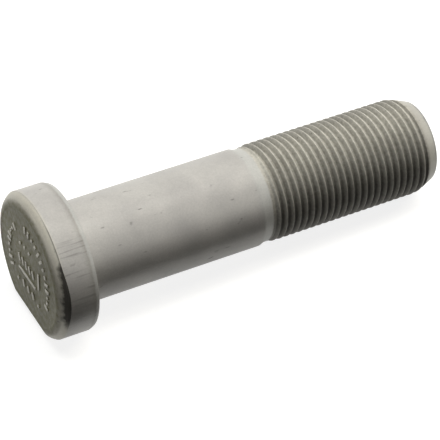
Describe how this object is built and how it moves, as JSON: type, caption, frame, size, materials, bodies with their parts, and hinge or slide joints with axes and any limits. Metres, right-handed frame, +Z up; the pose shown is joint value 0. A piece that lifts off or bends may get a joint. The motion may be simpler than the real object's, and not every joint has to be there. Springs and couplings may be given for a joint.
{
  "type": "wheel bolt",
  "caption": "Round wheel bolt with a flat-sided head, a plain shank, a fine right-hand thread and a chamfered tip.",
  "frame": {"origin": "on the floor under the middle of the bolt's bounding box, with the bolt lying on the rear edge of its head's flat and on its last full thread crest", "axes": "+X is the long way of the bolt, from the head to the threaded tip, +Z is up; the bolt's own axis dips about 2.2 degrees below +X towards the tip"},
  "size_m": [0.0866, 0.0296, 0.0277],
  "materials": {
    "zinc_flake_steel": "dull silver-grey zinc-flake coating on forged and rolled steel"
  },
  "bodies": {
    "root": {"wheel_bolt": "zinc_flake_steel"}
  },
  "joints": []
}
